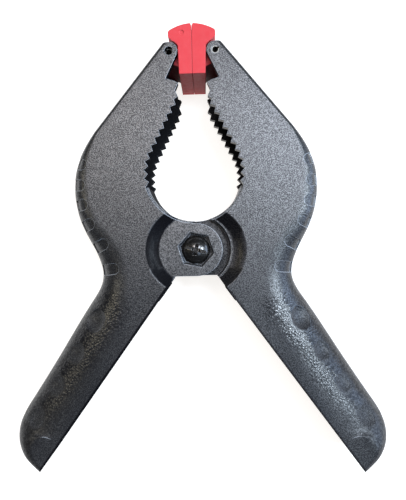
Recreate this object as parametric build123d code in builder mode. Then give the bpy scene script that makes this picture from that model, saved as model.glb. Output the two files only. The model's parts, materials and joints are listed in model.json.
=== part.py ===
"""Hand spring clamp: two like hollow mouldings, hinged on a screw and closed by a torsion spring.

The clamp lies flat. The origin is on the pivot's axis at the resting plane, +Z runs along the pivot to
the screw's head, +Y points to the jaws and +X to the right. The right half is modelled where it lies,
and the left half is the same moulding turned over about the Y direction.
"""

import os
from math import asin, atan2, cos, degrees, hypot, pi, radians, sin, tan

from build123d import *

# ---- the mouldings ----
width = 26.0  # across both cheeks
cheek = 3.0  # wall of each cheek
web = 3.0  # wall round the outer edge
round_steps = 6  # flats that make up a quarter turn of the edge rounding
edge_samples = 30  # stations taken along the outer edge

# ---- jaw and its fork ----
jaw_reach = 71.5  # pivot to pad pin, along Y
pin_offset = 8.35  # middle plane to pad pin
tip_radius = 3.1  # fork's nose round the pin
jaw_slope = 39.0  # outer edge of the jaw, from the Y direction
jaw_back = 4.75  # pin to the jaw's outer edge, straight across, at the fork's top
fork_slope = 25.5  # inner edge of the fork below the pin, from the Y direction
fork_depth = 9.9  # pin down to the fork's lower shoulder
jaw_straight = 28.0  # pin down to the end of the jaw's straight outer edge
jaw_over = 2.0  # the rounded skin runs this far past the fork's flat end

# ---- opening and teeth ----
opening_radius = 18.2
root_slope = 27.5  # straight row of tooth roots, from the Y direction
row_foot = -15.6  # the row ends this far round the opening, in degrees from the X direction
tooth_spacing = 3.08
tooth_depth = 1.5

# ---- hooked end of the row of teeth, each as steps in and up from its first root ----
beak_tip = (1.5, 0.9)
beak_dent = (0.5, 3.2)
beak_nose = (1.6, 5.8)
beak_heel = 0.9  # down from the fork's shoulder
beak_room = 7.5  # row's first root to the fork's shoulder

# ---- wall between the cheeks, round the opening below the teeth ----
lip_wall = 2.0
lip_proud = 0.7  # past the cheeks' edges
lip_gap = 0.1  # to the middle plane
lip_clear = 0.4  # to the other half's nose

# ---- shoulder and waist, on the outer edge at mid width ----
shoulder_half = 44.4
shoulder_rise = 22.5
shoulder_top = (2.1, 10.8)  # steps in and up from the widest place
shoulder_foot = (2.7, 13.5)  # steps in and down from it
waist_half = 35.2
waist_drop = 10.2
waist_top = (1.8, 9.2)  # steps out and up from the narrowest place

# ---- handle ----
grip_angle = 35.8  # inner edge, from the Y direction
grip_length = 87.2  # neck to the end of the handle
grip_depth = 20.65  # inner edge to the back, where the spring's leg seats
grip_taper = 0.05  # depth lost for each unit of length from there
heel_start = 15.7  # the back starts to round this far before the handle's end
heel_near = (8.4, 0.7)  # steps up from the handle's end and in from its straight back
heel_bend = (3.0, 4.3)
heel_far = (0.4, 10.0)
heel_foot = 1.5  # the end's edge runs this far past the inner edge
seat_run = 25.6  # neck to the place where the spring's leg seats
neck_offset = 7.7  # where the handle's inner edge meets the pivot tongue
stop_start = 5.0  # cross wall at the handle's root, from the neck
stop_length = 6.0
stop_wall = 2.0
stop_proud = 0.35

# ---- edge rounding, smallest at the jaw and nearly half round on the handle ----
jaw_round = 1.4
shoulder_round = 5.2
waist_round = 8.2
grip_round = 11.5
heel_round = 2.0
edge_spread = 0.5  # the handle's rounding reaches this much further across than down, the jaw's no further
least_round = 0.5  # of the hollow's own edges

# ---- grip recesses on the shoulder ----
recess_count = 6
recess_pitch = 7.9
recess_top = 32.4
recess_width = 4.0
recess_depth = 0.7
recess_reach = 0.85  # over the cheek, as a share of the edge rounding
recess_drop = 0.88  # down the edge, as a share of the edge rounding

# ---- finger dimples on the handle ----
dimple_count = 4
dimple_pitch = 13.9
dimple_start = 30.2  # from the neck
dimple_inset = 5.8  # in from the handle's back
dimple_radius = 9.0
dimple_depth = 0.8

# ---- pivot ----
crescent_outer = (18.4, 16.6)  # oval, half its width and half its height
crescent_inner = (13.7, 12.9)
crescent_step = 2.4  # cheek down to the boss
tongue_radius = 9.6  # round nose of both bosses
well_radius = 12.2  # wall round the inner boss
well_lead = 0.5
outer_boss = 3.4  # thickness
inner_boss = 2.4
boss_gap = 0.2
boss_join = 18.9  # the cheeks give way to the stepped wall here
boss_blend = 19.5  # and it runs out inside them here
riser_radius = 15.4
hex_clearance = 0.4
hex_depth = 2.2
hex_lead = 0.7  # lead-in round the recess's mouth
hex_turn = 12.0
running_gap = 0.08

# ---- screw, nut and sleeve ----
screw_radius = 3.0
head_radius = 5.1
head_height = 2.9
head_rim = 0.6
slot_width = 1.1
slot_depth = 1.2
cross_span = 5.0
cross_tip = 2.0
cross_width = 1.3
cross_depth = 1.9
drive_turn = -16.0
nut_flats = 10.0
nut_height = 3.2
screw_end = 0.4  # past the nut
screw_chamfer = 0.5
sleeve_radius = 4.5
sleeve_end_gap = 0.1

# ---- torsion spring ----
wire = 2.3
coil_pitch = 2.4
coil_clearance = 1.0  # round the sleeve
whole_turns = 2
leg_seat_gap = 0.3

# ---- pads and pins ----
pad_gap = 0.05  # contact face to the middle plane
pad_foot = 8.4  # pin down to the pad's lower end
pad_rise = 9.6  # pin up to the pad's upper end
pad_waist = 5.0
pad_base = 4.7
flare_half = 8.5
flare_round = 1.1
flare_rise = 4.9
flare_fall = 2.6  # crown's drop from the middle to the flare
flare_clear = 0.65  # flare's hollow underside to the fork's nose
flare_turn = 20.0  # the hollow ends this far round, inside of the pin
pad_v = 0.9  # small V where the two pads part at the top
tongue_gap = 0.35
lug_radius = 3.0
lug_drop = 5.5
lug_clear = 0.5
lug_root = 1.0  # the lug runs this far into the pad
pin_radius = 1.5
pin_wall = 0.45
pin_slot = 0.6
pin_turn = 35.0
pin_length = 24.0
pin_fit = 0.02
pin_running = 0.05
pin_shift = 0.7  # left pin sits this far below the middle, right pin above it
mark_radius = 0.8  # gate mark on one face of the pad
mark_depth = 0.25
mark_place = (3.6, 6.4)  # from the middle plane, and up from the pin

mid = width / 2
pin = (pin_offset, jaw_reach)
boss_level = width - crescent_step
outer_boss_floor = boss_level - outer_boss
inner_boss_top = outer_boss_floor - boss_gap
inner_boss_floor = inner_boss_top - inner_boss
hex_floor = boss_level - hex_depth
opening_centre = tongue_radius + opening_radius  # height of the round opening's centre
neck = (neck_offset, -tongue_radius)
far = 2 * (jaw_reach + grip_length)

# ---- the row of teeth fills the room between the beak and the row's foot ----
root_turn = radians(root_slope)
row_rise = jaw_reach - fork_depth - beak_room - opening_centre - opening_radius * sin(root_turn)
row_length = row_rise / cos(root_turn)  # straight part, before it follows the opening
row_run = row_length + opening_radius * (root_turn - radians(row_foot))
tooth_count = round(row_run / tooth_spacing)
tooth_pitch = row_run / tooth_count


def grip_point(along, depth):
    """A point on the handle: along its inner edge from the neck, and in towards its back."""
    turn = radians(grip_angle)
    x = neck[0] + along * sin(turn) + depth * cos(turn)
    y = neck[1] - along * cos(turn) + depth * sin(turn)
    return (x, y)


def back_depth(along):
    """Depth of the handle's straight back, at a distance along it."""
    return grip_depth - grip_taper * (along - seat_run)


def heel_point(step):
    """A point on the rounded end of the handle, from steps up from its end and in from its back."""
    along = grip_length - step[0]
    return grip_point(along, back_depth(along) - step[1])


def root_point(run, rise=0.0):
    """A point on the row of tooth roots: along the straight row, then round the opening."""
    radius = opening_radius - rise
    if run < row_length:
        x = radius * cos(root_turn) - (row_length - run) * sin(root_turn)
        y = opening_centre + radius * sin(root_turn) + (row_length - run) * cos(root_turn)
        return (x, y)
    angle = root_turn - (run - row_length) / opening_radius
    return (radius * cos(angle), opening_centre + radius * sin(angle))


# ---- outer edge at mid width, from the jaw's tip to the handle's heel ----
fork_top = jaw_reach + tip_radius
tip_corner = (pin_offset + jaw_back - tip_radius * tan(radians(jaw_slope)), fork_top)
jaw_foot = jaw_reach - jaw_straight
jaw_end = (tip_corner[0] + (fork_top - jaw_foot) * tan(radians(jaw_slope)), jaw_foot)
seat_outer_round = 0.9 * grip_round
back_middle = (seat_run + grip_length - heel_start) / 2
edge_points = [
    (jaw_end, jaw_round),
    ((shoulder_half - shoulder_top[0], shoulder_rise + shoulder_top[1]), 0.75 * shoulder_round),
    ((shoulder_half, shoulder_rise), shoulder_round),
    ((shoulder_half - shoulder_foot[0], shoulder_rise - shoulder_foot[1]), 1.1 * shoulder_round),
    ((waist_half + waist_top[0], waist_top[1] - waist_drop), 0.9 * waist_round),
    ((waist_half, -waist_drop), waist_round),
    (grip_point(seat_run, grip_depth), seat_outer_round),
    (grip_point(back_middle, back_depth(back_middle)), grip_round),
    (heel_point((heel_start, 0)), grip_round),
    (heel_point(heel_near), 0.9 * grip_round),
    (heel_point(heel_bend), 0.65 * grip_round),
    (heel_point(heel_far), 0.4 * grip_round),
    (grip_point(grip_length, -heel_foot), heel_round),
]
with BuildLine() as back_edge:
    Spline(
        *[point for point, _ in edge_points],
        tangents=[
            (sin(radians(jaw_slope)), -cos(radians(jaw_slope))),
            (-cos(radians(grip_angle)), -sin(radians(grip_angle))),
        ],
        tangent_scalars=[1.0, 0.5],
    )
back = back_edge.line.edge()
knots = [back.param_at_point(Vector(*point)) for point, _ in edge_points]


def rounding_at(share):
    """Edge rounding at a share of the way along the outer edge, straight between the stations."""
    for k in range(len(knots) - 1):
        if share <= knots[k + 1]:
            part = (share - knots[k]) / (knots[k + 1] - knots[k])
            return edge_points[k][1] + part * (edge_points[k + 1][1] - edge_points[k][1])
    return edge_points[-1][1]


def reach_across(radius):
    """How far the edge rounding reaches across the cheek, where it reaches radius down the edge."""
    return radius * (1 + edge_spread * (radius - jaw_round) / (grip_round - jaw_round))


def edge_station(share):
    """Point, inward normal and rounding at a share of the way along the outer edge."""
    point = back @ share
    along = back % share
    return point, Vector(along.Y, -along.X, 0), rounding_at(share)


def skin(inset, lift, tip_extra=0.0):
    """Solid under the outer edge moved in by inset, between the cheek planes moved in by lift."""
    jaw_in = Vector(-cos(radians(jaw_slope)), -sin(radians(jaw_slope)), 0)
    jaw_up = Vector(-sin(radians(jaw_slope)), cos(radians(jaw_slope)), 0)
    jaw_start = Vector(*tip_corner) + jaw_up * (jaw_over + tip_extra)
    stations = [edge_station(k / edge_samples) for k in range(edge_samples + 1)]
    wires = []
    quarter = [90 * k / round_steps for k in range(round_steps + 1)]
    for upper, angle in [(False, a) for a in quarter] + [(True, a) for a in reversed(quarter)]:

        def placed(point, normal, radius):
            across = max(reach_across(radius) - inset, least_round)
            rise = lift + max(radius - inset, least_round) * (1 - cos(radians(angle)))
            moved = point + normal * (inset + across * (1 - sin(radians(angle))))
            return Vector(moved.X, moved.Y, width - rise if upper else rise)

        outer = [placed(*station) for station in stations]
        first = placed(jaw_start, jaw_in, jaw_round)
        inner_x = -2 * tongue_radius
        corner_low = Vector(inner_x, outer[-1].Y, outer[-1].Z)
        corner_high = Vector(inner_x, first.Y, first.Z)
        edges = [
            Edge.make_line(first, outer[0]),
            Edge.make_spline(outer),
            Edge.make_line(outer[-1], corner_low),
            Edge.make_line(corner_low, corner_high),
            Edge.make_line(corner_high, first),
        ]
        wires.append(Wire(edges))
    return Solid.make_loft(wires, ruled=True)


# ---- plan of one half, inner edge first: fork, teeth, opening, pivot tongue, handle ----
fork_turn = radians(fork_slope)
fork_tangent = (pin[0] - tip_radius * cos(fork_turn), pin[1] - tip_radius * sin(fork_turn))
fork_run = (fork_depth - tip_radius * sin(fork_turn)) / cos(fork_turn)
fork_shoulder = (fork_tangent[0] + fork_run * sin(fork_turn), pin[1] - fork_depth)
teeth = [root_point(0)]
for tooth in range(tooth_count):
    teeth.append(root_point((tooth + 0.5) * tooth_pitch, tooth_depth))
    teeth.append(root_point((tooth + 1) * tooth_pitch))
first_root = teeth[0]
beak = [
    (first_root[0] - beak_tip[0], first_root[1] + beak_tip[1]),
    (first_root[0] - beak_dent[0], first_root[1] + beak_dent[1]),
    (first_root[0] - beak_nose[0], first_root[1] + beak_nose[1]),
    (first_root[0], fork_shoulder[1] - beak_heel),
]
last_root = teeth[-1]
arc_mid_angle = radians(0.5 * (degrees(atan2(last_root[1] - opening_centre, last_root[0])) - 90))
arc_mid = (opening_radius * cos(arc_mid_angle), opening_centre + opening_radius * sin(arc_mid_angle))
with BuildSketch() as plan:
    with BuildLine():
        Polyline((2 * pin[0] + jaw_back, fork_top), (pin[0], fork_top))
        RadiusArc((pin[0], fork_top), fork_tangent, -tip_radius)
        Polyline(fork_tangent, fork_shoulder, *reversed(beak), *teeth)
        ThreePointArc(last_root, arc_mid, (0, tongue_radius))
        ThreePointArc((0, tongue_radius), (-tongue_radius, 0), (0, -tongue_radius))
        Polyline(
            (0, -tongue_radius),
            neck,
            grip_point(1.2 * grip_length, 0),
            (far, grip_point(1.2 * grip_length, 0)[1]),
            (far, fork_top),
            (2 * pin[0] + jaw_back, fork_top),
        )
    make_face()

# ---- stepped walls and bosses round the pivot, as one turned section cut to the plan ----
with BuildPart() as pivot_walls:
    with BuildSketch(Plane.XZ):
        with BuildLine():
            Polyline(
                (0, 0),
                (boss_blend, 0),
                (boss_blend, cheek),
                (riser_radius, crescent_step + outer_boss),
                (0, crescent_step + outer_boss),
                (0, 0),
            )
        make_face()
        with BuildLine():
            Polyline(
                (0, inner_boss_floor),
                (riser_radius, inner_boss_floor),
                (riser_radius, boss_level - cheek),
                (boss_blend, width - cheek),
                (boss_blend, width),
                (well_radius + well_lead, width),
                (well_radius + well_lead, boss_level),
                (well_radius, boss_level - well_lead),
                (well_radius, inner_boss_top),
                (0, inner_boss_top),
                (0, inner_boss_floor),
            )
        make_face()
    revolve(axis=Axis.Z)
    # oval crescents on both faces, sloping down to the bosses
    with BuildPart(mode=Mode.SUBTRACT):
        with BuildSketch(Plane.XY.offset(width)):
            Ellipse(*crescent_outer)
        with BuildSketch(Plane.XY.offset(boss_level)):
            Ellipse(*crescent_inner)
        loft(ruled=True)
        mirror(about=Plane.XY.offset(mid))
    extrude(plan.sketch, amount=width, mode=Mode.INTERSECT)
    # screw hole and hex recess in the outer boss, sleeve bore in the inner boss
    Cylinder(screw_radius + running_gap, 2 * (crescent_step + outer_boss), mode=Mode.SUBTRACT)
    with Locations((0, 0, inner_boss_floor)):
        Cylinder(
            sleeve_radius + running_gap,
            2 * inner_boss,
            mode=Mode.SUBTRACT,
        )
    with BuildSketch(Plane.XY.offset(crescent_step)):
        RegularPolygon((nut_flats + hex_clearance) / 2, 6, major_radius=False, rotation=hex_turn)
    extrude(amount=hex_depth, mode=Mode.SUBTRACT)
    with BuildSketch(Plane.XY.offset(crescent_step)):
        RegularPolygon((nut_flats + hex_clearance) / 2 + hex_lead, 6, major_radius=False, rotation=hex_turn)
    with BuildSketch(Plane.XY.offset(crescent_step + hex_lead)):
        RegularPolygon((nut_flats + hex_clearance) / 2, 6, major_radius=False, rotation=hex_turn)
    loft(mode=Mode.SUBTRACT)

# ---- shoulder recesses: shallow pockets wrapped over both rounded edges ----
recess_shares = []
for k in range(recess_count):
    height = recess_top - k * recess_pitch
    shares = [s / 400 for s in range(401)]
    recess_shares.append(min(shares, key=lambda s: abs((back @ s).Y - height)))
with BuildPart() as recesses:
    for share in recess_shares:
        point, normal, radius = edge_station(share)
        with BuildSketch(Plane(point + Vector(0, 0, width), x_dir=normal, z_dir=(0, 0, 1))):
            SlotOverall(2 * recess_reach * radius + recess_width / 4, recess_width)
        extrude(amount=-recess_drop * radius)
    mirror(about=Plane.XY.offset(mid))
    add(skin(recess_depth, recess_depth), mode=Mode.SUBTRACT)

# ---- one moulding ----
with BuildPart() as half:
    add(skin(0, 0))
    extrude(plan.sketch, amount=width, mode=Mode.INTERSECT)
    add(skin(web, cheek, tip_extra=3 * web), mode=Mode.SUBTRACT)
    with Locations((0, 0, mid)):
        Cylinder(boss_join, width, mode=Mode.SUBTRACT)
    add(pivot_walls.part)
    with Locations((*pin, mid)):
        Cylinder(pin_radius + pin_fit, width, mode=Mode.SUBTRACT)
    # room for the pad's lug, open through the fork's end
    with BuildSketch(Plane.XY.offset(cheek)):
        with Locations(pin):
            Circle(lug_radius + lug_clear)
            Rectangle(
                2 * (lug_radius + lug_clear),
                4 * lug_radius,
                rotation=jaw_slope,
                align=(Align.CENTER, Align.MIN),
            )
    extrude(amount=width - 2 * cheek, mode=Mode.SUBTRACT)
    add(recesses.part, mode=Mode.SUBTRACT)
    # cross wall between the cheeks at the handle's root
    with BuildSketch(Plane.XY.offset(cheek)):
        with BuildLine():
            Polyline(
                grip_point(stop_start, -stop_proud),
                grip_point(stop_start + stop_length, -stop_proud),
                grip_point(stop_start + stop_length, stop_wall),
                grip_point(stop_start, stop_wall),
                grip_point(stop_start, -stop_proud),
            )
        make_face()
    extrude(amount=width - 2 * cheek)
    # wall between the cheeks round the opening, kept out of the well
    with BuildSketch(Plane.XY.offset(cheek)):
        with Locations((0, opening_centre)):
            Circle(opening_radius - lip_proud + lip_wall)
            Circle(opening_radius - lip_proud, mode=Mode.SUBTRACT)
        with Locations((lip_gap, last_root[1])):
            Rectangle(
                2 * opening_radius,
                opening_centre,
                align=(Align.MIN, Align.MAX),
                mode=Mode.INTERSECT,
            )
        Circle(tongue_radius + lip_clear, mode=Mode.SUBTRACT)
    extrude(amount=width - 2 * cheek)
    with Locations((0, 0, inner_boss_top)):
        Cylinder(
            well_radius,
            width,
            align=(Align.CENTER, Align.CENTER, Align.MIN),
            mode=Mode.SUBTRACT,
        )
    # finger dimples on both sides of the handle's back
    round_turn = asin(1 - dimple_inset / reach_across(grip_round))
    drop = grip_round * (1 - cos(round_turn))
    lean = atan2(grip_round * sin(round_turn), reach_across(grip_round) * cos(round_turn))
    reach = dimple_radius - dimple_depth
    for k in range(dimple_count):
        along = dimple_start + k * dimple_pitch
        x, y = grip_point(along, back_depth(along) - dimple_inset + reach * sin(lean))
        for z in (width - drop + reach * cos(lean), drop - reach * cos(lean)):
            with Locations((x, y, z)):
                Sphere(dimple_radius, mode=Mode.SUBTRACT)

with BuildPart() as right_half:
    add(half.part)
with BuildPart() as left_half:
    with Locations((0, 0, width)):
        add(half.part, rotation=(0, 180, 0))

# ---- pad: a full-width face with a flared crown, and a lug between the cheeks round the pin ----
flare_radius = tip_radius + flare_clear
flare_lean = asin((pin_offset - pad_waist) / flare_radius)


def flare_point(share):
    """A point on the crown's hollow underside, round the pin: 0 at the waist, 1 above the pin."""
    lean = flare_lean * (1 - share) + radians(flare_turn) * share
    return (pin[0] - flare_radius * sin(lean), pin[1] + flare_radius * cos(lean))


pad_top = jaw_reach + pad_rise
flare_edge = (flare_half, pad_top - flare_fall)
crown_edge = (pad_gap + pad_v / 2, pad_top)
crown_mid = (flare_half / 2, pad_top - flare_fall / 4)
with BuildPart() as right_pad:
    with BuildSketch():
        with BuildLine():
            Polyline(
                crown_edge,
                (pad_gap, pad_top - pad_v),
                (pad_gap, jaw_reach - pad_foot),
                (pad_base, jaw_reach - pad_foot),
                flare_point(0),
            )
            ThreePointArc(flare_point(0), flare_point(0.5), flare_point(1))
            Polyline(flare_point(1), (flare_half, jaw_reach + flare_rise), flare_edge)
            ThreePointArc(flare_edge, crown_mid, crown_edge)
        make_face()
        fillet(vertices().group_by(Axis.X)[-1], flare_round)
    extrude(amount=width)
    with BuildSketch(Plane.XY.offset(cheek + tongue_gap)):
        with BuildLine():
            Polyline(
                (pad_base - lug_root, jaw_reach + lug_radius),
                (pin_offset, jaw_reach + lug_radius),
            )
            ThreePointArc(
                (pin_offset, jaw_reach + lug_radius),
                (pin_offset + lug_radius, jaw_reach),
                (pin_offset, jaw_reach - lug_radius),
            )
            Polyline(
                (pin_offset, jaw_reach - lug_radius),
                (pad_base - lug_root, jaw_reach - lug_drop),
                (pad_base - lug_root, jaw_reach + lug_radius),
            )
        make_face()
    extrude(amount=width - 2 * (cheek + tongue_gap))
    with Locations((*pin, mid)):
        Cylinder(pin_radius + pin_running, width, mode=Mode.SUBTRACT)
    with Locations((mark_place[0], jaw_reach + mark_place[1], 0)):
        Cylinder(mark_radius, 2 * mark_depth, mode=Mode.SUBTRACT)

with BuildPart() as left_pad:
    with Locations((0, 0, width)):
        add(right_pad.part, rotation=(0, 180, 0))

# ---- slotted spring pins ----
with BuildPart() as right_pad_pin:
    with BuildSketch(Plane.XY.offset(mid + pin_shift - pin_length / 2)):
        with Locations(pin):
            Circle(pin_radius)
            Circle(pin_radius - pin_wall, mode=Mode.SUBTRACT)
        with Locations(pin):
            Rectangle(
                2 * pin_radius,
                pin_slot,
                rotation=pin_turn,
                align=(Align.MIN, Align.CENTER),
                mode=Mode.SUBTRACT,
            )
    extrude(amount=pin_length)
with BuildPart() as left_pad_pin:
    with Locations((0, 0, width)):
        add(right_pad_pin.part, rotation=(0, 180, 0))

# ---- pivot sleeve, screw and nut ----
with BuildPart() as pivot_sleeve:
    sleeve_length = outer_boss_floor - (width - outer_boss_floor) - 2 * sleeve_end_gap
    with Locations((0, 0, mid)):
        Cylinder(sleeve_radius, sleeve_length)
        Cylinder(screw_radius + running_gap / 2, sleeve_length, mode=Mode.SUBTRACT)

nut_top = width - hex_floor
screw_low = nut_top - nut_height - screw_end
screw_top = hex_floor + head_height
dome_rise = head_height - head_rim
dome_radius = (head_radius**2 + dome_rise**2) / (2 * dome_rise)
dome_lean = asin(head_radius / dome_radius) / 2
with BuildPart() as pivot_screw:
    with BuildSketch(Plane.XZ):
        with BuildLine():
            Polyline(
                (0, screw_top),
                (0, screw_low),
                (screw_radius - screw_chamfer, screw_low),
                (screw_radius, screw_low + screw_chamfer),
                (screw_radius, hex_floor),
                (head_radius, hex_floor),
                (head_radius, hex_floor + head_rim),
            )
            ThreePointArc(
                (head_radius, hex_floor + head_rim),
                (dome_radius * sin(dome_lean), screw_top - dome_radius * (1 - cos(dome_lean))),
                (0, screw_top),
            )
        make_face()
    revolve(axis=Axis.Z)
    with BuildSketch(Plane.XY.offset(screw_top)):
        Rectangle(2.2 * head_radius, slot_width, rotation=drive_turn)
    extrude(amount=-slot_depth, mode=Mode.SUBTRACT)
    for turn in (radians(drive_turn), radians(drive_turn + 90)):
        with BuildSketch(
            Plane(
                origin=(0, 0, screw_top),
                x_dir=(cos(turn), sin(turn), 0),
                z_dir=(sin(turn), -cos(turn), 0),
            )
        ):
            with BuildLine():
                Polyline(
                    (-cross_span / 2, 0),
                    (-cross_tip / 2, -cross_depth),
                    (cross_tip / 2, -cross_depth),
                    (cross_span / 2, 0),
                    (-cross_span / 2, 0),
                )
            make_face()
        extrude(amount=cross_width / 2, both=True, mode=Mode.SUBTRACT)

with BuildPart() as pivot_nut:
    with BuildSketch(Plane.XY.offset(nut_top)):
        RegularPolygon(nut_flats / 2, 6, major_radius=False, rotation=hex_turn)
        Circle(screw_radius, mode=Mode.SUBTRACT)
    extrude(amount=-nut_height)

# ---- torsion spring: the legs seat on the webs inside the two handles ----
coil_radius = sleeve_radius + coil_clearance + wire / 2
climb = coil_pitch / (2 * pi * coil_radius)
seat_down = seat_outer_round - web  # rounded corner inside the handle where the leg seats
seat_across = reach_across(seat_outer_round) - web
wire_room = wire / 2 + leg_seat_gap
leg_estimate = hypot(*grip_point(seat_run, grip_depth - web))
seat_height = mid - (whole_turns + 0.5) * coil_pitch / 2 - leg_estimate * climb - cheek
seat_level = (seat_down - seat_height) / (seat_down - wire_room)
seat_room = seat_across - (seat_across - wire_room) * (1 - seat_level**2) ** 0.5
seat = grip_point(seat_run, grip_depth - web - seat_room)
seat_distance = hypot(*seat)
leg_length = (seat_distance**2 - coil_radius**2) ** 0.5
leg_lean = atan2(seat[0], -seat[1]) - asin(coil_radius / seat_distance)
turns = whole_turns + (180 - 2 * degrees(leg_lean)) / 360
coil_rise = turns * coil_pitch
coil_start = mid - coil_rise / 2
end_turn = radians(360 * turns)
leg_drop = leg_length * climb
with BuildPart() as spring_blank:
    with BuildLine() as spring_path:
        Line((coil_radius, -leg_length, -leg_drop), (coil_radius, 0, 0))
        Helix(coil_pitch, coil_rise, coil_radius)
        Line(
            (coil_radius * cos(end_turn), coil_radius * sin(end_turn), coil_rise),
            (
                coil_radius * cos(end_turn) - leg_length * sin(end_turn),
                coil_radius * sin(end_turn) + leg_length * cos(end_turn),
                coil_rise + leg_drop,
            ),
        )
    with BuildSketch(Plane(spring_path.line @ 0, z_dir=spring_path.line % 0)):
        Circle(wire / 2)
    sweep(path=spring_path.line)

with BuildPart() as torsion_spring:
    with Locations((0, 0, coil_start)):
        add(spring_blank.part, rotation=(0, 0, degrees(leg_lean)))

os.makedirs("parts", exist_ok=True)
pieces = {
    "left_half": left_half,
    "right_half": right_half,
    "torsion_spring": torsion_spring,
    "pivot_sleeve": pivot_sleeve,
    "pivot_screw": pivot_screw,
    "pivot_nut": pivot_nut,
    "left_pad": left_pad,
    "right_pad": right_pad,
    "left_pad_pin": left_pad_pin,
    "right_pad_pin": right_pad_pin,
}
for name, piece in pieces.items():
    piece.part.label = name
    export_step(piece.part, f"parts/{name}.step")
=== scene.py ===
import json
from math import cos, pi, radians, sin, tan

import bpy
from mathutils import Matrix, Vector


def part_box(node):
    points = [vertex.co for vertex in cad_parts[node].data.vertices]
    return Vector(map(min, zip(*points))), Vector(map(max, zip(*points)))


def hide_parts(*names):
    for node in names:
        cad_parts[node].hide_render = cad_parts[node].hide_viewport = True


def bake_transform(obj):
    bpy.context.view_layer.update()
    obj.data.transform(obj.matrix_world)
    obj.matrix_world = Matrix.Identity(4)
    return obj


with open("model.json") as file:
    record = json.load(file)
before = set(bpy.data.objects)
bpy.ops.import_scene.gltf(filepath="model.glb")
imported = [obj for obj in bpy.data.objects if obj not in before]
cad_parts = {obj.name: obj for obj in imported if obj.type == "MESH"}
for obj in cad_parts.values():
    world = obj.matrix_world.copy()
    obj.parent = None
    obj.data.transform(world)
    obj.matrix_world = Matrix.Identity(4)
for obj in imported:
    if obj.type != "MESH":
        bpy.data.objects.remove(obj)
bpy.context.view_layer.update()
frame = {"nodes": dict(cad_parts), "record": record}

nodes = frame["nodes"]
MM = 0.001

# ---- places shared with the solids, in millimetres ----
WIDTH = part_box("right_half")[1].z / MM  # across both cheeks
GRIP_ANGLE = radians(35.8)  # handle's inner edge, from the Y direction
NECK = (7.7, -9.6)  # where the handle's inner edge starts
GRIP_DEPTH = 20.65  # inner edge to the back, where the spring's leg seats
GRIP_TAPER = 0.05  # depth lost for each unit of length from there
SEAT_RUN = 25.6  # neck to the place where the spring's leg seats
DIMPLE_COUNT = 4
DIMPLE_START = 30.2  # neck to the first dimple
DIMPLE_PITCH = 13.9
DIMPLE_INSET = 5.8  # in from the handle's back
DIMPLE_HALF = 3.9  # half the length of a dimple
DIMPLE_SHAPE = 0.85  # its width as a share of its length
CRESCENT_OUTER = (18.4, 16.6)  # oval, half its width and half its height
CRESCENT_INNER = (13.7, 12.9)
BOSS_DROP = 2.4  # cheek down to the boss

# ---- where the looks change, in millimetres ----
GRAIN_START = (14.0, 22.0)  # the handles' grain comes in over this stretch, from the neck
GRAIN_EDGE = (3.5, 10.0)  # and over this one, from the inner edge
POLISH_END = (20.0, 46.0)  # the polish of the handle's root fades
RELIEF_END = (50.0, 76.0)  # the grain's relief fades
HEEL = (58.0, 78.0)  # the heel turns duller
LUG_SIDE = (4.6, 5.2)  # the pads' lugs go into the fork's shade, from the middle plane
LUG_TOP = (75.5, 74.5)  # and down from here, from the pivot

# ---- texture sizes, in millimetres ----
SPECK = 0.36  # spark-eroded grain
FINE = 0.6  # mottling of the polish
CLOUD = 12.0  # slow changes of tone
SCUFF = 7.0  # patches rubbed pale
PEBBLE = 0.85  # grain of the grips
RAGGED = 3.0  # how far the grips' outline wanders to each side
PLASTIC_EDGE = 0.4  # radius that the plastic's edges look rounded by
METAL_EDGE = 0.2

# ---- colours ----
NYLON_DARK = (0.009, 0.009, 0.0098, 1)
NYLON_LIGHT = (0.014, 0.014, 0.0153, 1)
NYLON_GLINT = (0.04, 0.041, 0.043, 1)
NYLON_SCUFF = (0.10, 0.102, 0.108, 1)
NYLON_SHADE = (0.004, 0.004, 0.005, 1)
# pale edges, partly wear and partly painted highlight
NYLON_WEAR_AND_HIGHLIGHT = (0.36, 0.385, 0.42, 1)
RED_DARK = (0.49, 0.027, 0.034, 1)
RED_LIGHT = (0.55, 0.038, 0.045, 1)
# the pads' colour along their rounded edges
RED_EDGE_PALE = (0.9, 0.2, 0.2, 1)
RED_SHADE = (0.03, 0.008, 0.012, 1)
BLACK_STEEL = (0.055, 0.053, 0.051, 1)
PLATED_STEEL = (0.24, 0.235, 0.22, 1)
SPRING_STEEL = (0.42, 0.42, 0.43, 1)
FLOOR_DARK = (0.34, 0.34, 0.34, 1)
FLOOR_LIGHT = (0.36, 0.36, 0.36, 1)
FLOOR_GLOW = (1.0, 0.975, 0.94, 1)
ROOM_AIR = (0.85, 0.87, 0.90, 1)


# ---- node helpers ----
def new_material(name):
    """An empty material with a Principled shader wired to its output."""
    material = bpy.data.materials.new(name)
    material.use_nodes = True
    material.node_tree.nodes.clear()
    shader = material.node_tree.nodes.new("ShaderNodeBsdfPrincipled")
    output = material.node_tree.nodes.new("ShaderNodeOutputMaterial")
    material.node_tree.links.new(shader.outputs[0], output.inputs[0])
    return material, shader


def set_or_link(tree, socket, value):
    """Link a socket's value, or set a plain one."""
    if isinstance(value, bpy.types.NodeSocket):
        tree.links.new(value, socket)
    else:
        socket.default_value = value


def put(tree, kind, inputs=(), **settings):
    """A new node with its settings made and its inputs set or linked, by name or number."""
    node = tree.nodes.new(kind)
    for key, value in settings.items():
        setattr(node, key, value)
    for key, value in dict(inputs).items():
        set_or_link(tree, node.inputs[key], value)
    return node


def maths(tree, operation, a, b=0.0, c=0.0):
    """One sum on up to three numbers or sockets."""
    return put(tree, "ShaderNodeMath", {0: a, 1: b, 2: c}, operation=operation).outputs[0]


def product(tree, first, *others):
    """Numbers and sockets, multiplied."""
    for other in others:
        first = maths(tree, "MULTIPLY", first, other)
    return first


def highest(tree, first, *others):
    """The highest of numbers and sockets."""
    for other in others:
        first = maths(tree, "MAXIMUM", first, other)
    return first


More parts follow.
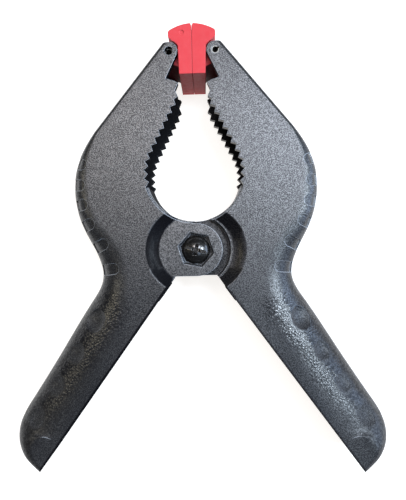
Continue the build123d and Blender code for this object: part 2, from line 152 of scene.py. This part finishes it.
def changed(tree, share, change):
    """A factor of 1 where share is 0, and of 1 + change where it is 1."""
    return maths(tree, "MULTIPLY_ADD", share, change, 1.0)


def span(tree, value, low, high, start=0.0, end=1.0):
    """A socket taken smoothly from low..high to start..end."""
    values = {"Value": value, "From Min": low, "From Max": high, "To Min": start, "To Max": end}
    return put(tree, "ShaderNodeMapRange", values, interpolation_type="SMOOTHSTEP").outputs[0]


def over(tree, distance, stretch, start=0.0, end=1.0):
    """A distance taken smoothly from start to end over a stretch in millimetres."""
    return span(tree, distance, stretch[0] * MM, stretch[1] * MM, start, end)


def noise(tree, coords, size, detail=2.0, roughness=0.5):
    """Noise whose lumps are about size millimetres across."""
    values = {"Vector": coords, "Scale": 1 / (size * MM), "Detail": detail, "Roughness": roughness}
    return put(tree, "ShaderNodeTexNoise", values).outputs["Fac"]


def mix_colour(tree, share, a, b):
    """Colour a to colour b by share."""
    return put(tree, "ShaderNodeMix", {0: share, 6: a, 7: b}, data_type="RGBA").outputs[2]


def object_coords(tree):
    return put(tree, "ShaderNodeTexCoord").outputs["Object"]


def split(tree, vector):
    """A vector's X, Y and Z."""
    return put(tree, "ShaderNodeSeparateXYZ", {0: vector}).outputs


def bump(tree, strength, depth, relief, normal):
    """A normal tilted by a relief that is depth millimetres deep."""
    values = {"Strength": strength, "Distance": depth * MM, "Height": relief, "Normal": normal}
    return put(tree, "ShaderNodeBump", values).outputs[0]


def rounded_edges(tree, radius, samples):
    """The normal with edges rounded by radius millimetres, and how far that bends it, from 0 on a flat."""
    rounded = put(tree, "ShaderNodeBevel", {"Radius": radius * MM}, samples=samples).outputs[0]
    plain = put(tree, "ShaderNodeNewGeometry").outputs["Normal"]
    vectors = {0: rounded, 1: plain}
    agreement = put(tree, "ShaderNodeVectorMath", vectors, operation="DOT_PRODUCT").outputs["Value"]
    return rounded, maths(tree, "SUBTRACT", 1.0, agreement)


# ---- places on the mouldings ----
def grip_places(tree, place):
    """Distance along a handle from its neck, depth in from its inner edge, and distance in from its back."""
    out = maths(tree, "SUBTRACT", maths(tree, "ABSOLUTE", place[0]), NECK[0] * MM)
    up = maths(tree, "SUBTRACT", place[1], NECK[1] * MM)
    along = maths(tree, "SUBTRACT", product(tree, out, sin(GRIP_ANGLE)), product(tree, up, cos(GRIP_ANGLE)))
    depth = maths(tree, "ADD", product(tree, out, cos(GRIP_ANGLE)), product(tree, up, sin(GRIP_ANGLE)))
    back = maths(tree, "MULTIPLY_ADD", along, -GRIP_TAPER, (GRIP_DEPTH + GRIP_TAPER * SEAT_RUN) * MM)
    return along, depth, maths(tree, "SUBTRACT", back, depth)


def dimple_share(tree, along, inset):
    """1 inside the smooth oval finger dimples, 0 outside them."""
    first = DIMPLE_START - DIMPLE_PITCH / 2
    last = first + DIMPLE_COUNT * DIMPLE_PITCH
    step = maths(tree, "PINGPONG", maths(tree, "SUBTRACT", along, DIMPLE_START * MM), DIMPLE_PITCH / 2 * MM)
    beyond = maths(tree, "ADD", maths(tree, "GREATER_THAN", along, last * MM),
                   maths(tree, "LESS_THAN", along, first * MM))
    step = maths(tree, "ADD", step, product(tree, beyond, DIMPLE_PITCH * MM))
    across = maths(tree, "DIVIDE", maths(tree, "SUBTRACT", inset, DIMPLE_INSET * MM), DIMPLE_SHAPE)
    away = maths(tree, "SQRT", maths(tree, "ADD", maths(tree, "POWER", step, 2.0),
                                     maths(tree, "POWER", across, 2.0)))
    return over(tree, away, (1.25 * DIMPLE_HALF, 0.8 * DIMPLE_HALF))


def grip_share(tree, coords, along, depth, dimple):
    """1 on the handles' pebbled grain, which starts raggedly past the neck and leaves the dimples out."""
    ragged = maths(tree, "MULTIPLY_ADD", noise(tree, coords, 4.0, 3.0, 0.6), 2 * RAGGED * MM, -RAGGED * MM)
    past_neck = over(tree, maths(tree, "ADD", along, ragged), GRAIN_START)
    past_edge = over(tree, maths(tree, "ADD", depth, ragged), GRAIN_EDGE)
    return product(tree, past_neck, past_edge, maths(tree, "SUBTRACT", 1.0, dimple))


def oval(tree, place, half):
    """Distance from the pivot as a share of an oval's edge, from its half width and half height."""
    across = maths(tree, "POWER", maths(tree, "DIVIDE", place[0], half[0] * MM), 2.0)
    up = maths(tree, "POWER", maths(tree, "DIVIDE", place[1], half[1] * MM), 2.0)
    return maths(tree, "SQRT", maths(tree, "ADD", across, up))


def pivot_steps(tree, place):
    """1 in the crescents and in the well round the inner boss."""
    crescent = product(tree, span(tree, oval(tree, place, CRESCENT_OUTER), 1.0, 0.97),
                       span(tree, oval(tree, place, CRESCENT_INNER), 0.96, 1.0))
    from_middle = maths(tree, "ABSOLUTE", maths(tree, "SUBTRACT", place[2], WIDTH / 2 * MM))
    boss_face = WIDTH / 2 - BOSS_DROP
    low = over(tree, from_middle, (boss_face - 0.5, boss_face - 2))
    radius = oval(tree, place, (1.0, 1.0))
    well = product(tree, low, span(tree, radius, CRESCENT_OUTER[0] + 1, CRESCENT_OUTER[0]))
    return highest(tree, crescent, well)


def inner_walls(tree, place):
    """1 on the walls that face the gap between the halves, such as the teeth and the handles' edges."""
    facing = split(tree, put(tree, "ShaderNodeTexCoord").outputs["Normal"])
    inward = maths(tree, "LESS_THAN", product(tree, facing[0], place[0]), 0.0)
    wall = product(tree, span(tree, maths(tree, "ABSOLUTE", facing[2]), 0.45, 0.05), inward)
    # the right half's teeth catch the light from the floor
    on_right = maths(tree, "GREATER_THAN", place[0], 0.0)
    lit = product(tree, on_right, maths(tree, "GREATER_THAN", place[1], 0.0))
    wall = product(tree, wall, changed(tree, lit, -0.6))
    # the cheeks' faces toward each other stay in the dark
    above = maths(tree, "SUBTRACT", place[2], WIDTH / 2 * MM)
    within = maths(tree, "LESS_THAN", product(tree, facing[2], above), -1 * MM)
    return highest(tree, wall, product(tree, within, 0.82))


# ---- materials ----
def nylon():
    """Black glass-filled nylon: spark-eroded flats, pebbled grips with smooth dimples, scuffed corners."""
    material, shader = new_material("nylon")
    tree = material.node_tree
    coords = object_coords(tree)
    place = split(tree, coords)
    along, depth, inset = grip_places(tree, place)
    dimple = dimple_share(tree, along, inset)
    grip = grip_share(tree, coords, along, depth, dimple)
    heel = over(tree, along, HEEL)
    # the pivot's steps and a thin strip along each handle's inner edge: less shine, and painted shade in the
    # colour below
    rim = product(tree, over(tree, along, (0.0, 3.0)), over(tree, depth, (0.9, 0.5)))
    dull_and_shaded = highest(tree, pivot_steps(tree, place), rim)
    wall = inner_walls(tree, place)
    boss = span(tree, oval(tree, place, CRESCENT_INNER), 1.0, 0.96)
    smooth_parts = highest(tree, grip, dull_and_shaded, product(tree, boss, 0.6), wall)
    rounded, bend = rounded_edges(tree, PLASTIC_EDGE, 6)

    speck = noise(tree, coords, SPECK, 2.0, 0.6)
    fine = noise(tree, coords, FINE, 3.0, 0.7)
    cells = {"Vector": coords, "Scale": 1 / (PEBBLE * MM), "Randomness": 1.0}
    pebble = put(tree, "ShaderNodeTexVoronoi", cells, feature="F1").outputs["Distance"]
    pebble = span(tree, pebble, 0.75, 0.05)
    hollow = product(tree, span(tree, pebble, 0.45, 0.05), grip)

    # colour: clouded, with bright specks and scuffs, painted shade in the grips' hollows, on the pivot's
    # steps, along the handles' inner edges and on the inner walls, and pale edges that are partly wear and
    # partly painted highlight
    tone = mix_colour(tree, noise(tree, coords, CLOUD, 3.0), NYLON_DARK, NYLON_LIGHT)
    glint = product(tree, span(tree, speck, 0.52, 0.72, 0.0, 0.8),
                    maths(tree, "SUBTRACT", 1.0, smooth_parts))
    tone = mix_colour(tree, glint, tone, NYLON_GLINT)
    scuff = product(tree, span(tree, noise(tree, coords, SCUFF, 8.0, 0.75), 0.60, 0.74),
                    span(tree, fine, 0.45, 0.65, 0.0, 0.7))
    tone = mix_colour(tree, scuff, tone, NYLON_SCUFF)
    # painted shade: the grain's hollows, the pivot's steps, the handles' inner edges and the inner walls are
    # darkened
    shaded = highest(tree, product(tree, hollow, 0.6), dull_and_shaded, product(tree, wall, 0.8))
    tone = mix_colour(tree, shaded, tone, NYLON_SHADE)
    # pale edges: partly wear, partly painted highlight
    wear_and_highlight = product(tree, span(tree, bend, 0.03, 0.16, 0.0, 0.9),
                   maths(tree, "SUBTRACT", 1.0, highest(tree, wall, rim)))
    tree.links.new(mix_colour(tree, wear_and_highlight, tone, NYLON_WEAR_AND_HIGHLIGHT), shader.inputs["Base Color"])

    # polish: the grips are smoother, their dimples and the heel less so
    rough = span(tree, fine, 0.3, 0.7, 0.30, 0.40)
    for share, change in ((grip, -0.07), (dimple, 0.14), (heel, 0.15)):
        rough = maths(tree, "MULTIPLY_ADD", share, change, rough)
    tree.links.new(rough, shader.inputs["Roughness"])
    tree.links.new(maths(tree, "MULTIPLY_ADD", wall, -0.49, 1.5), shader.inputs["IOR"])

    # shine: hands keep the handle's root polished, and its back and its length beyond stay duller
    shine = highest(tree, span(tree, speck, 0.38, 0.62, 0.2, 1.0), product(tree, grip, 0.5))
    back = product(tree, maths(tree, "SUBTRACT", over(tree, along, (0.0, 12.0)), heel),
                   over(tree, inset, (6.0, 1.5)))
    shine = product(
        tree,
        shine,
        changed(tree, hollow, -0.45),
        over(tree, along, POLISH_END, 1.0, 0.68),
        changed(tree, back, -0.45),
        changed(tree, dull_and_shaded, over(tree, place[0], (-8.0, 8.0), -0.92, -0.5)),
        changed(tree, boss, 0.5),
    )
    tree.links.new(shine, shader.inputs["Specular IOR Level"])

    # relief: spark-eroded everywhere, pebbled on the grips
    flat_strength = maths(tree, "MULTIPLY_ADD", smooth_parts, -0.5, 0.7)
    flats = bump(tree, flat_strength, 0.06, maths(tree, "ADD", speck, fine), rounded)
    grip_strength = product(tree, grip, over(tree, along, RELIEF_END, 0.65, 0.3))
    tree.links.new(bump(tree, grip_strength, 0.1, pebble, flats), shader.inputs["Normal"])
    return material


def red_plastic():
    """Satin red pads: faint mottling, paler edges, and lugs darkened with painted shade between the cheeks.
    """
    material, shader = new_material("pad_plastic")
    tree = material.node_tree
    coords = object_coords(tree)
    place = split(tree, coords)
    rounded, bend = rounded_edges(tree, PLASTIC_EDGE, 6)
    tone = mix_colour(tree, noise(tree, coords, 5.0, 3.0), RED_DARK, RED_LIGHT)
    # paler along the rounded edges
    tone = mix_colour(tree, span(tree, bend, 0.05, 0.3, 0.0, 0.35), tone, RED_EDGE_PALE)
    lug = product(
        tree,
        over(tree, maths(tree, "ABSOLUTE", place[0]), LUG_SIDE),
        over(tree, place[2], (WIDTH - 3, WIDTH - 4)),
        over(tree, place[1], LUG_TOP, 0.0, 0.85),
    )
    tree.links.new(mix_colour(tree, lug, tone, RED_SHADE), shader.inputs["Base Color"])
    tree.links.new(span(tree, noise(tree, coords, 1.2), 0.3, 0.7, 0.5, 0.62), shader.inputs["Roughness"])
    tree.links.new(bump(tree, 0.25, 0.05, noise(tree, coords, 0.5), rounded), shader.inputs["Normal"])
    shader.inputs["Specular IOR Level"].default_value = 0.25
    shader.inputs["Subsurface Weight"].default_value = 0.08
    shader.inputs["Subsurface Radius"].default_value = (1.2 * MM, 0.3 * MM, 0.3 * MM)
    return material


def shaded_colour(colour, factor):
    """A colour made darker or lighter, no channel over 1."""
    return tuple(min(1.0, factor * channel) for channel in colour[:3]) + (1,)


def metal(name, colour, rough, mark_size, metallic=1.0, coat=0.0, left_shaded_brightness=1.0, edge=0.35):
    """A metal with fine marks and brighter edges, partly rubbed wear and partly painted highlight. A
    brightness below 1 for the pieces on the left paints them darker, as painted shade.
    """
    material, shader = new_material(name)
    tree = material.node_tree
    coords = object_coords(tree)
    rounded, bend = rounded_edges(tree, METAL_EDGE, 4)
    tone = mix_colour(tree, noise(tree, coords, 1.5, 4.0), shaded_colour(colour, 0.7), colour)
    # painted shade: the pieces on the left are made darker
    if left_shaded_brightness < 1:
        shaded_left = maths(tree, "LESS_THAN", split(tree, coords)[0], 0.0)
        tone = mix_colour(tree, shaded_left, tone, shaded_colour(colour, left_shaded_brightness))
    # brighter edges: partly rubbed wear, partly painted highlight
    wear_and_highlight = span(tree, bend, 0.02, 0.15, 0.0, edge)
    tree.links.new(mix_colour(tree, wear_and_highlight, tone, shaded_colour(colour, 4)), shader.inputs["Base Color"])
    marks = noise(tree, coords, mark_size, 4.0, 0.6)
    tree.links.new(span(tree, marks, 0.3, 0.7, rough, rough + 0.14), shader.inputs["Roughness"])
    tree.links.new(bump(tree, 0.3, 0.03, marks, rounded), shader.inputs["Normal"])
    shader.inputs["Metallic"].default_value = metallic
    shader.inputs["Coat Weight"].default_value = coat
    shader.inputs["Coat Roughness"].default_value = 0.12
    return material


def floor_material():
    """Pale card that glows a little, so that it stays white beside the lights."""
    material, shader = new_material("floor")
    tree = material.node_tree
    grain = noise(tree, object_coords(tree), 3.0, 3.0)
    tree.links.new(mix_colour(tree, grain, FLOOR_DARK, FLOOR_LIGHT), shader.inputs["Base Color"])
    shader.inputs["Roughness"].default_value = 0.9
    shader.inputs["Specular IOR Level"].default_value = 0.0
    shader.inputs["Emission Color"].default_value = FLOOR_GLOW
    shader.inputs["Emission Strength"].default_value = 0.88
    return material


finish = {
    "nylon": nylon(),
    "pad_plastic": red_plastic(),
    "black_steel": metal("black_steel", BLACK_STEEL, 0.2, 0.8, metallic=0.85, coat=0.5, edge=0.8),
    # the plated pieces on the left are darkened as painted shade
    "plated_steel": metal("plated_steel", PLATED_STEEL, 0.42, 0.5, left_shaded_brightness=0.2),
    "spring_steel": metal("spring_steel", SPRING_STEEL, 0.28, 0.4),
}
slots = {row["node"]: row["material_slot"] for row in frame["record"]["subparts"]}


# ---- edges and shading of the carried-over solids ----
WELD_GAP = 0.002  # millimetres
FLAT_ANGLE = 0.1  # degrees; faces this nearly in one plane are merged
SMOOTH_ANGLE = 28.0  # degrees; edges flatter than this are shaded smooth


def smooth_group():
    """Geometry nodes that shade smooth up to a set angle between faces."""
    group = bpy.data.node_groups.new("smooth_up_to", "GeometryNodeTree")
    group.interface.new_socket("Geometry", in_out="INPUT", socket_type="NodeSocketGeometry")
    group.interface.new_socket("Geometry", in_out="OUTPUT", socket_type="NodeSocketGeometry")
    start = put(group, "NodeGroupInput")
    angle = put(group, "GeometryNodeInputMeshEdgeAngle").outputs["Unsigned Angle"]
    limit = {0: angle, 1: radians(SMOOTH_ANGLE)}
    soft = put(group, "FunctionNodeCompare", limit, operation="LESS_THAN").outputs[0]
    faces = put(group, "GeometryNodeSetShadeSmooth", {0: start.outputs[0], 2: True}, domain="FACE")
    edges = put(group, "GeometryNodeSetShadeSmooth", {0: faces.outputs[0], 2: soft}, domain="EDGE")
    put(group, "NodeGroupOutput", {0: edges.outputs[0]})
    return group


def add_weld(piece):
    """Join vertices that coincide."""
    weld = piece.modifiers.new("weld", "WELD")
    weld.merge_threshold = WELD_GAP * MM


def add_shading(piece):
    """Smooth shading with sharp edges kept."""
    shade = piece.modifiers.new("shade", "NODES")
    shade.node_group = smooth


smooth = smooth_group()
for name, node in nodes.items():
    node.data.materials.clear()
    node.data.materials.append(finish[slots[name]])
    add_weld(node)
    merge = node.modifiers.new("merge", "DECIMATE")
    merge.decimate_type = "DISSOLVE"
    merge.angle_limit = radians(FLAT_ANGLE)
    add_shading(node)
    even = node.modifiers.new("even", "WEIGHTED_NORMAL")
    even.keep_sharp = True

# ---- the spring, which twists between the two halves ----
spring = bpy.data.objects.new("spring_wire", nodes["torsion_spring"].data.copy())
bpy.context.scene.collection.objects.link(spring)
add_weld(spring)
add_shading(spring)
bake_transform(spring)
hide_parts("torsion_spring")

# ---- floor ----
bpy.ops.mesh.primitive_grid_add(x_subdivisions=8, y_subdivisions=8, size=6, location=(0, 0, -0.1 * MM))
floor = bpy.context.object
floor.name = "floor"
floor.data.materials.append(floor_material())

# ---- light ----
LIGHT_AWAY = 900.0  # from the pivot, in millimetres


def area_light(name, lean, size, radiance, colour):
    """A soft box that faces the clamp: lean off the vertical in X and Y in degrees, size in millimetres."""
    across, up = (side * MM for side in size)
    lamp = bpy.data.lights.new(name, "AREA")
    lamp.shape = "RECTANGLE"
    lamp.size = up
    lamp.size_y = across
    lamp.energy = pi * across * up * radiance
    lamp.color = colour
    light = bpy.data.objects.new(name, lamp)
    way = Vector((tan(radians(lean[0])), tan(radians(lean[1])), 1)).normalized()
    light.location = way * LIGHT_AWAY * MM
    light.rotation_euler = (-way).to_track_quat("-Z", "Y").to_euler()
    bpy.context.scene.collection.objects.link(light)


area_light("skylight", (14, 15), (250, 250), 28.0, (0.79, 0.865, 1.0))
area_light("ceiling", (-10, 17), (250, 250), 14.0, (1.0, 0.95, 0.95))
area_light("window", (36, 6), (168, 200), 54.0, (0.76, 0.88, 1.0))
area_light("sill", (44, -11), (180, 150), 24.0, (0.70, 0.85, 1.0))
area_light("doorway", (73, 4), (480, 600), 5.5, (0.56, 0.72, 1.0))
area_light("room", (-44, 8), (260, 220), 6.0, (1.0, 0.91, 0.70))
area_light("desk", (20, -24), (250, 250), 3.6, (0.60, 0.76, 1.0))

world = bpy.data.worlds.new("studio")
bpy.context.scene.world = world
world.use_nodes = True
air = world.node_tree.nodes["Background"]
air.inputs["Color"].default_value = ROOM_AIR
air.inputs["Strength"].default_value = 0.012

# ---- camera, above the clamp, looking a little to the left ----
CAMERA_PLACE = (4.43, 4.54, WIDTH + 174)  # millimetres
CAMERA_TURN = (0, 2.41, -1.16)  # degrees
lens = bpy.data.cameras.new("camera")
lens.lens = 35.08
lens.shift_x = 0.031
lens.shift_y = -0.0262
lens.clip_start = 0.01
camera = bpy.data.objects.new("camera", lens)
camera.location = [part * MM for part in CAMERA_PLACE]
camera.rotation_euler = [radians(part) for part in CAMERA_TURN]
bpy.context.scene.collection.objects.link(camera)
bpy.context.scene.camera = camera
bpy.context.scene.view_settings.view_transform = "Standard"
